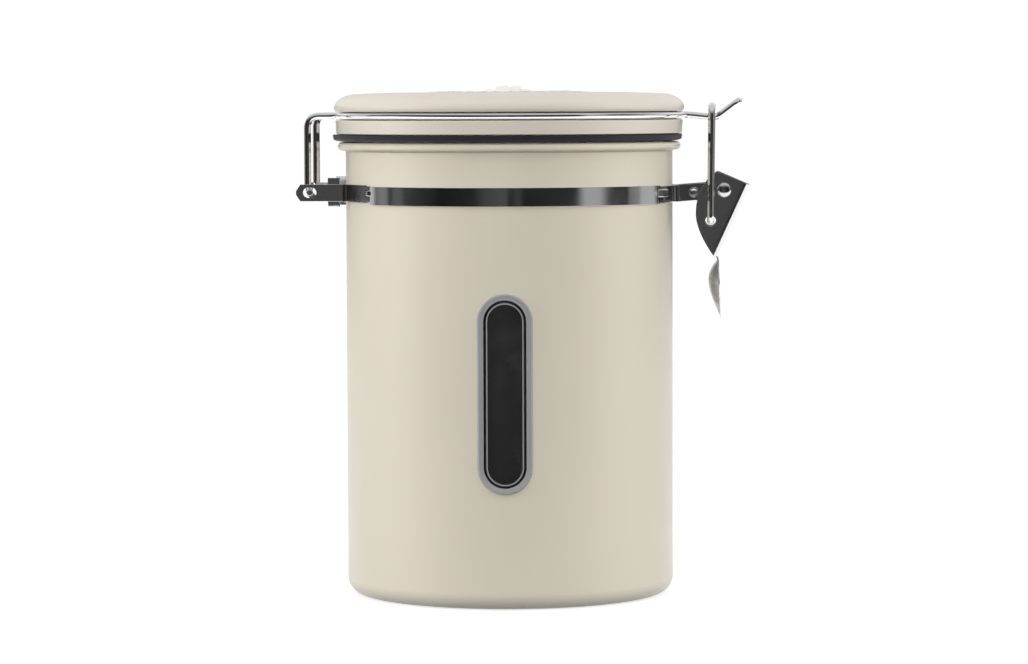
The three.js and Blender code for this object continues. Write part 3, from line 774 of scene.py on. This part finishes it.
def lever_outline():
    """Cheek's outline as (x, z) points: top corner, slanted back, then the curved side next to the can."""
    outline = [(78.6, 156.9), (BACK_HIGH.x + 1, BACK_HIGH.y - 0.3), (BACK_LOW.x + 0.3, BACK_LOW.y - 0.6)]
    bends = (((76.6, 125.2), (69.6, 135), (69.6, 141.8), 14), ((69.6, 141.8), (69.6, 151.5), (77.2, 157), 14),
             ((77.2, 157), (77.9, 157.3), (78.6, 156.9), 6))
    for *points, steps in bends:
        outline += bent(*(Vector(point) for point in points), steps)[:-1]
    return outline


def lever_channel(name, half, depth, radius):
    """Long channel along the lever's slanted back; local x points from the back towards the can."""
    section = [(40, -half), (depth, -half, radius), (depth, half, radius), (40, half)]
    block = prism(name, [rounded(section, True, 8)], "z", -25, 55, STEEL_PLATE)
    back = BACK_HIGH - BACK_LOW
    along = Vector((back.x, 0, back.y)).normalized()
    inward = Vector((-along.z, 0, along.x))
    turn = Matrix((inward, along.cross(inward), along)).transposed().to_4x4()
    block.data.transform(Matrix.Translation((BACK_LOW.x * MM, 0, BACK_LOW.y * MM)) @ turn)
    return block


BEND_OUTSIDE, BEND_INSIDE = 2.3, 1.5


def lever_body():
    """Channel of sheet steel cut to the cheeks' outline, with holes for the rivet and the link."""
    body = lever_channel("lever_channel", LEVER_HALF, 0, BEND_OUTSIDE)
    combine(body, lever_channel("inner", LEVER_HALF - PLATE, PLATE, BEND_INSIDE), "DIFFERENCE")
    outline = prism("lever_outline", [lever_outline()], "y", -LEVER_HALF - 1, LEVER_HALF + 1, STEEL_PLATE)
    combine(body, outline, "INTERSECT")
    for x, z in ((PIVOT_X, PIVOT_Z), (LINK_X, LINK_Z)):
        combine(body, bar_y("hole", x, z, HOLE_R, -12, 12, STEEL_PLATE), "DIFFERENCE")
    return eased(body, 0.14)


def smooth_value(table, s):
    """Value between the points of a table, eased at each point."""
    for (s0, v0), (s1, v1) in zip(table, table[1:]):
        if s <= s1:
            t = (s - s0) / (s1 - s0)
            return v0 + (v1 - v0) * (3 * t * t - 2 * t ** 3)
    return table[-1][1]


def thumb_tab():
    """Pressed leaf with a straight rim and a bowl that bulges towards the can."""
    widths = [(0, 3.1), (0.14, 3.6), (0.45, 7), (0.72, 5.6), (0.92, 2.6), (1, 0.9)]
    z_top, z_tip = 126.4, 102.6
    rows, columns = 40, 16
    bm = bmesh.new()
    grid = []
    for i in range(rows + 1):
        s = i / rows
        z = z_top + (z_tip - z_top) * s
        rim = 77.9 + 1.1 * s - 0.9 * math.exp(-((s - 0.0) / 0.07) ** 2)
        bowl = max(0, (s - 0.10) / 0.90)
        depth = 3.8 * math.sin(math.pi * bowl ** 0.75)
        half = smooth_value(widths, s)
        row = []
        for k in range(columns + 1):
            v = 2 * k / columns - 1
            row.append(bm.verts.new(((rim - depth * (1 - v * v)) * MM, v * half * MM, z * MM)))
        grid.append(row)
    for a, b in zip(grid, grid[1:]):
        for k in range(columns):
            bm.faces.new((a[k], a[k + 1], b[k + 1], b[k]))
    # The tab takes the blue-tinted steel, a painted reflection colour.
    tab = finish_mesh("thumb_tab", bm, TAB_TINTED_REFLECTION, 60)
    thicken = tab.modifiers.new("thickness", "SOLIDIFY")
    thicken.thickness = 0.6 * MM
    thicken.offset = 0
    baked(tab)
    return eased(tab, 0.12, 50)


def link_route():
    half = [(LINK_X, -6.6, LINK_Z)]
    legs_low = (LINK_X, -LINK_Y, LINK_Z)
    legs_high = (BAR_X, -LINK_Y, BAR_Z)
    half += corner((LINK_X, -6.6, LINK_Z), legs_low, legs_high, 2)
    half += spaced(half[-1], legs_high, 4)[:-1]
    half += corner(legs_low, legs_high, (BAR_X, 0, BAR_Z), 4.5, 12)
    half = [Vector(p) for p in half]
    return half + [Vector((p.x, -p.y, p.z)) for p in half[::-1]]


place(lever_body(), "lever", "polished_steel", "latch_lever")
place(thumb_tab(), "lever", "polished_steel", "latch_lever")
place(wire("latch_link_wire", link_route(), STEEL_WIRE), "link", "polished_steel", "latch_link")


# ---- lid ----
def lid_cap():
    """Lid with a flat well for the dial, a rounded shoulder and a groove for the wire ring."""
    inside = GROOVE_R - 1
    under = WELL_Z - 1.2
    shoulder_r, shoulder_z, crown_edge = 56.7, 181, 186.25
    valve_hole = 7.3
    profile = [(valve_hole, under), (valve_hole, WELL_Z, 0.2), (WELL_R, WELL_Z, 0.3),
               (WELL_R, LID_TOP - 0.5, 0.5), (WELL_R + 1.6, LID_TOP - 0.4), (44, LID_TOP - 0.5)]
    profile = rounded(profile, False)
    profile += arc(shoulder_r, shoulder_z, LID_R - shoulder_r, crown_edge - shoulder_z, 86, -6, 22)
    groove_top, groove_low = 179.7, 176.6
    groove = [(LID_R - 0.35, 180.1), (LID_R - 0.5, 179.75, 0.2), (GROOVE_R, groove_top, 0.5),
              (GROOVE_R, groove_low, 0.5), (LID_R - 0.5, groove_low, 0.5), (LID_R - 0.8, LID_LOW, 0.5),
              (inside, LID_LOW, 0.2), (inside, 180.4)]
    profile += rounded(groove, False)
    profile += arc(55.5, 181.2, 8.3, 4.8, 0, 90, 8)
    profile += [(WELL_R + 1.2, 186), (WELL_R + 1.2, under)]
    return turned("lid_cap", profile, CREAM_LID, 192)


def lid_liner():
    """Inner pan that closes the lid from below and hangs in the can's mouth, with six vents for the valve."""
    inner_r = GROOVE_R - 1 - GAP
    vent_place, vent_r = 5, 1.2
    profile = [(0, 162), (10, 162), (53, 162, 1), (57.4, 166.4, 1), (57.4, 172, 0.2), (inner_r, 172),
               (inner_r, 173.2), (56.2, 173.2), (56.2, 166.9), (52.6, 163.2), (0, 163.2)]
    pan = turned("lid_liner_pan", rounded(profile, False), WHITE, 128)
    for k in range(6):
        angle = math.radians(60 * k)
        vent = circle(vent_place * math.cos(angle), vent_place * math.sin(angle), vent_r, 20)
        hole = prism("vent", [vent], "z", 160, 165, WHITE)
        combine(pan, hole, "DIFFERENCE")
    pan.data.shade_smooth()
    pan.data.set_sharp_from_angle(angle=math.radians(35))
    return pan


# The seal sits a little off centre in the lid, towards the hinge.
GASKET_OFFSET = -0.6


def lid_gasket():
    profile = [(57.7, 168.7, 0.2), (62.4, 168.7, 0.3), (64.1, 169.0, 0.4), (64.9, 169.4, 0.3),
               (65.2, 171.2, 0.25), (57.7, 171.2, 0.2)]
    gasket = turned("lid_gasket_ring", rounded(profile), RUBBER, 160)
    gasket.data.transform(Matrix.Translation((GASKET_OFFSET * MM, 0, 0)))
    return gasket


place(lid_cap(), "lid", "lid_paint", "lid_shell")
place(lid_liner(), "lid", "white_plastic", "lid_liner")
place(lid_gasket(), "lid", "black_silicone", "lid_gasket")


# ---- date dial ----
def dial_plate():
    """Scale plate with a sunk track in which the two pointer rings turn."""
    hole, edge = 9.6, WELL_R - 0.4
    profile = [(hole, DIAL_LOW), (edge, DIAL_LOW), (edge, DIAL_TOP, 0.3), (TRACK_OUT, DIAL_TOP, 0.2),
               (TRACK_OUT, TRACK_FLOOR), (TRACK_IN, TRACK_FLOOR), (TRACK_IN, DIAL_TOP, 0.2),
               (hole, DIAL_TOP, 0.3)]
    return turned("dial_scale", rounded(profile), CREAM_DIAL, 128)


def dial_numbers():
    """Raised numbers: days round the outside, months inside the pointers' track."""
    days, months = (31, 26.4, 2.5), (12, 12.9, 2.3)
    print_height = 0.03
    bm = bmesh.new()
    for count, radius, size in (days, months):
        for k in range(count):
            text = bpy.data.curves.new("number", "FONT")
            text.body = str(k + 1)
            text.align_x = "CENTER"
            text.align_y = "CENTER"
            text.size = size * MM
            text.extrude = print_height * MM
            shape = bpy.data.objects.new("number", text)
            bpy.context.scene.collection.objects.link(shape)
            mesh = bpy.data.meshes.new_from_object(shape.evaluated_get(bpy.context.evaluated_depsgraph_get()))
            turn = Matrix.Rotation(-2 * math.pi * k / count, 4, "Z")
            mesh.transform(turn @ Matrix.Translation((0, radius * MM, (DIAL_TOP + print_height) * MM)))
            bm.from_mesh(mesh)
            bpy.data.objects.remove(shape)
    bmesh.ops.remove_doubles(bm, verts=bm.verts[:], dist=MERGE)
    return finish_mesh("dial_numbers", bm, INK)


def pointer(name, inner, outer, node):
    """Pointer ring with a small block on it as a finger grip."""
    ring_low, ring_top, grip_top, grip_half = 186.4, 187.4, 189.2, 0.9
    profile = [(inner, ring_low), (outer, ring_low), (outer, ring_top, 0.2), (inner, ring_top, 0.2)]
    band = turned(name, rounded(profile), WHITE, 96)
    middle = (inner + outer) / 2
    grip_x, half = {"day_pointer": (-1.2, 2.4), "month_pointer": (3.4, 2.0)}[node]
    y = -math.sqrt(middle ** 2 - grip_x ** 2)
    left, right = grip_x - half, grip_x + half
    outline = [(left, ring_top - 0.3), (left, grip_top, 0.9), (right, grip_top, 0.9), (right, ring_top - 0.3)]
    grip = prism(name + "_grip", [rounded(outline)], "y", y - grip_half, y + grip_half, WHITE, 0.25)
    return joined(band, grip)


place(dial_plate(), "lid", "lid_paint", "dial_plate")
place(dial_numbers(), "lid", "black_silicone")
month_ring = pointer("month_pointer_ring", TRACK_IN + GAP, TRACK_MID - GAP / 2, "month_pointer")
place(month_ring, "month", "white_plastic", "month_pointer")
day_ring = pointer("day_pointer_ring", TRACK_MID + GAP / 2, TRACK_OUT - GAP, "day_pointer")
place(day_ring, "day", "white_plastic", "day_pointer")


# ---- valve ----
def valve_cap():
    """Cap over the valve with three slots."""
    profile = [(0, 185.4), (5.9, 185.4), (5.9, 187), (8.4, 187, 0.2), (8.4, 187.6, 0.4), (7.6, 187.95, 0.8),
               (0, 188)]
    slot_reach, slot_half, slot_pitch = 3.4, 0.5, 2.4
    cap = turned("valve_cap_dome", rounded(profile, False), WHITE, 64)
    for k in (-1, 0, 1):
        slot = [(x, slot_pitch * k + y, 0.4) for x, y in ((-slot_reach, -slot_half), (slot_reach, -slot_half),
                                                          (slot_reach, slot_half), (-slot_reach, slot_half))]
        combine(cap, prism("slot", [rounded(slot)], "z", 184, 189, WHITE), "DIFFERENCE")
    return eased(cap, 0.1)


place(valve_cap(), "lid", "white_plastic", "valve_cap")
for node, material in (("valve_body", WHITE), ("valve_disc", SILICONE), ("valve_washer", RUBBER),
                       ("valve_nut", WHITE), ("valve_filter", FELT)):
    kept = frame["nodes"][node]
    kept.data.materials.clear()
    kept.data.materials.append(material)


# ---- floor, light and camera ----
# Lengths from here on are in metres.
FLOOR_HALF, FLOOR_FRONT, FLOOR_BACK, FLOOR_DROP = 1.5, -0.36, 7, 0.0002
FLOOR_GLOW = 0.62


def floor():
    """Pale floor that is seen and reflected, but throws no light back on to the canister's foot."""
    m = Nodes("floor").set(Roughness=0.9, Base_Color=(0.6, 0.6, 0.6, 1), Emission_Color=(1, 1, 1, 1))
    m.set(Emission_Strength=FLOOR_GLOW)
    mesh = bpy.data.meshes.new("floor")
    half = FLOOR_HALF
    corners = [(-half, FLOOR_FRONT, 0), (half, FLOOR_FRONT, 0), (half, FLOOR_BACK, 0), (-half, FLOOR_BACK, 0)]
    mesh.from_pydata(corners, [], [(0, 1, 2, 3)])
    mesh.materials.append(m.material)
    piece = bpy.data.objects.new("floor", mesh)
    piece.location.z = -FLOOR_DROP
    piece.visible_diffuse = False
    bpy.context.scene.collection.objects.link(piece)


LIGHT_AIM = Vector((0, 0, 0.1))


def soft_light(name, centre, size, power):
    """Large soft light that aims at the canister and isn't seen in its reflections."""
    light = bpy.data.lights.new(name, "AREA")
    light.shape = "RECTANGLE"
    light.size, light.size_y = size
    light.energy = power
    lamp = bpy.data.objects.new(name, light)
    lamp.location = centre
    lamp.rotation_euler = (LIGHT_AIM - Vector(centre)).to_track_quat("-Z", "Y").to_euler()
    lamp.visible_glossy = False
    bpy.context.scene.collection.objects.link(lamp)


# The studio round the canister: (degrees from the front towards the latch side, brightness).
# It is an unlit room with tall soft boxes at both sides, so flat steel that faces the front looks dark.
STUDIO = [(-180, 0.05), (-127, 0.04), (-123, 0.60), (-106, 0.60), (-102, 0.02), (-99, 0.21), (-91, 0.21),
          (-88, 0.02), (-84, 0.10), (-77, 0.09), (-74, 0.04), (-45, 0.012), (-22, 0.02), (-14, 0.06),
          (-1, 0.085), (1.3, 0.085), (2.6, 0.015), (9, 0.06), (13, 0.02), (50, 0.03), (56, 0.42), (68, 0.40),
          (75, 0.10), (80, 0.02), (92, 0.03), (95, 0.20), (104, 0.25), (107, 0.46), (126, 0.48), (131, 0.05),
          (180, 0.05)]
# The room's light from above, and from above the floor's far end.
OVERHEAD, BEHIND = 0.7, 0.9


def studio_world():
    """World that shows white to the camera and the studio to everything else."""
    sky = bpy.data.worlds.new("studio")
    sky.use_nodes = True
    tree = sky.node_tree
    background = tree.nodes["Background"]

    def computed(kind, sockets, values, **settings):
        """Node with numbers or other nodes' results on its sockets; returns its first result."""
        node = tree.nodes.new(kind)
        for key, value in settings.items():
            setattr(node, key, value)
        for index, value in zip(sockets, values):
            if isinstance(value, bpy.types.NodeSocket):
                tree.links.new(value, node.inputs[index])
            else:
                node.inputs[index].default_value = value
        return node.outputs[0]

    def math_node(operation, *values):
        return computed("ShaderNodeMath", range(3), values, operation=operation)

    def mix(factor, first, second):
        return computed("ShaderNodeMix", (0, 2, 3), (factor, first, second))

    def rise(value, start, end):
        """0 below the start and 1 above the end."""
        return computed("ShaderNodeMapRange", range(3), (value, start, end))

    parts = tree.nodes.new("ShaderNodeSeparateXYZ")
    tree.links.new(tree.nodes.new("ShaderNodeTexCoord").outputs["Generated"], parts.inputs[0])
    turn = math_node("ARCTAN2", parts.outputs["X"], math_node("MULTIPLY", parts.outputs["Y"], -1))
    around = tree.nodes.new("ShaderNodeValToRGB")
    tree.links.new(math_node("MULTIPLY_ADD", turn, 0.5 / math.pi, 0.5), around.inputs[0])
    ramp = around.color_ramp
    for degrees, level in STUDIO[1:-1]:
        ramp.elements.new(0.5 + degrees / 360)
    for element, (degrees, level) in zip(ramp.elements, STUDIO):
        element.color = (level, level, level, 1)
    seen = tree.nodes.new("ShaderNodeLightPath").outputs["Is Camera Ray"]
    behind = math_node("MULTIPLY", rise(parts.outputs["Y"], 0.4, 0.7), rise(parts.outputs["Z"], 0.04, 0.12))
    level = mix(rise(parts.outputs["Z"], 0.35, 0.75), around.outputs["Color"], OVERHEAD)
    level = mix(behind, level, BEHIND)
    tree.links.new(mix(seen, level, 1.0), background.inputs["Color"])
    background.inputs["Strength"].default_value = 1.0
    bpy.context.scene.world = sky


CAMERA_DISTANCE, CAMERA_HEIGHT = 1.4749, 0.18457
CAMERA_AZIMUTH, CAMERA_PITCH, CAMERA_ROLL, CAMERA_YAW = 3.0, 3.391, -0.19, 0.061
CAMERA_LENS, SENSOR = 138.2, 36


def camera():
    """Level camera a metre and a half away at the lid's height, tipped down a little."""
    data = bpy.data.cameras.new("camera")
    data.lens = CAMERA_LENS
    data.sensor_width = SENSOR
    piece = bpy.data.objects.new("camera", data)
    yaw, pitch, roll = (math.radians(v) for v in (CAMERA_YAW, CAMERA_PITCH, CAMERA_ROLL))
    forward = Vector((math.sin(yaw) * math.cos(pitch), math.cos(yaw) * math.cos(pitch), -math.sin(pitch)))
    right = Vector((math.cos(yaw), -math.sin(yaw), 0))
    up = right.cross(forward)
    across = right * math.cos(roll) + up * math.sin(roll)
    upright = up * math.cos(roll) - right * math.sin(roll)
    turn = Matrix((across, upright, -forward)).transposed().to_4x4()
    at = Matrix.Translation((0, -CAMERA_DISTANCE, CAMERA_HEIGHT)) @ turn
    piece.matrix_world = Matrix.Rotation(math.radians(CAMERA_AZIMUTH), 4, "Z") @ at
    bpy.context.scene.collection.objects.link(piece)
    bpy.context.scene.camera = piece


floor()
studio_world()
camera()
# Name, centre, width and height, and power in watts.
LIGHTS = (("soft_left", (-1.5, -0.3, 0.4), (1.0, 1.0), 19), ("soft_right", (1.5, -0.1, 0.4), (1.0, 1.0), 17),
          ("soft_front", (-0.1, -1.7, 0.35), (0.9, 0.5), 16), ("soft_top", (0, -0.8, 1.5), (1.4, 1.0), 4))
for light in LIGHTS:
    soft_light(*light)
bpy.context.scene.view_settings.view_transform = "Standard"
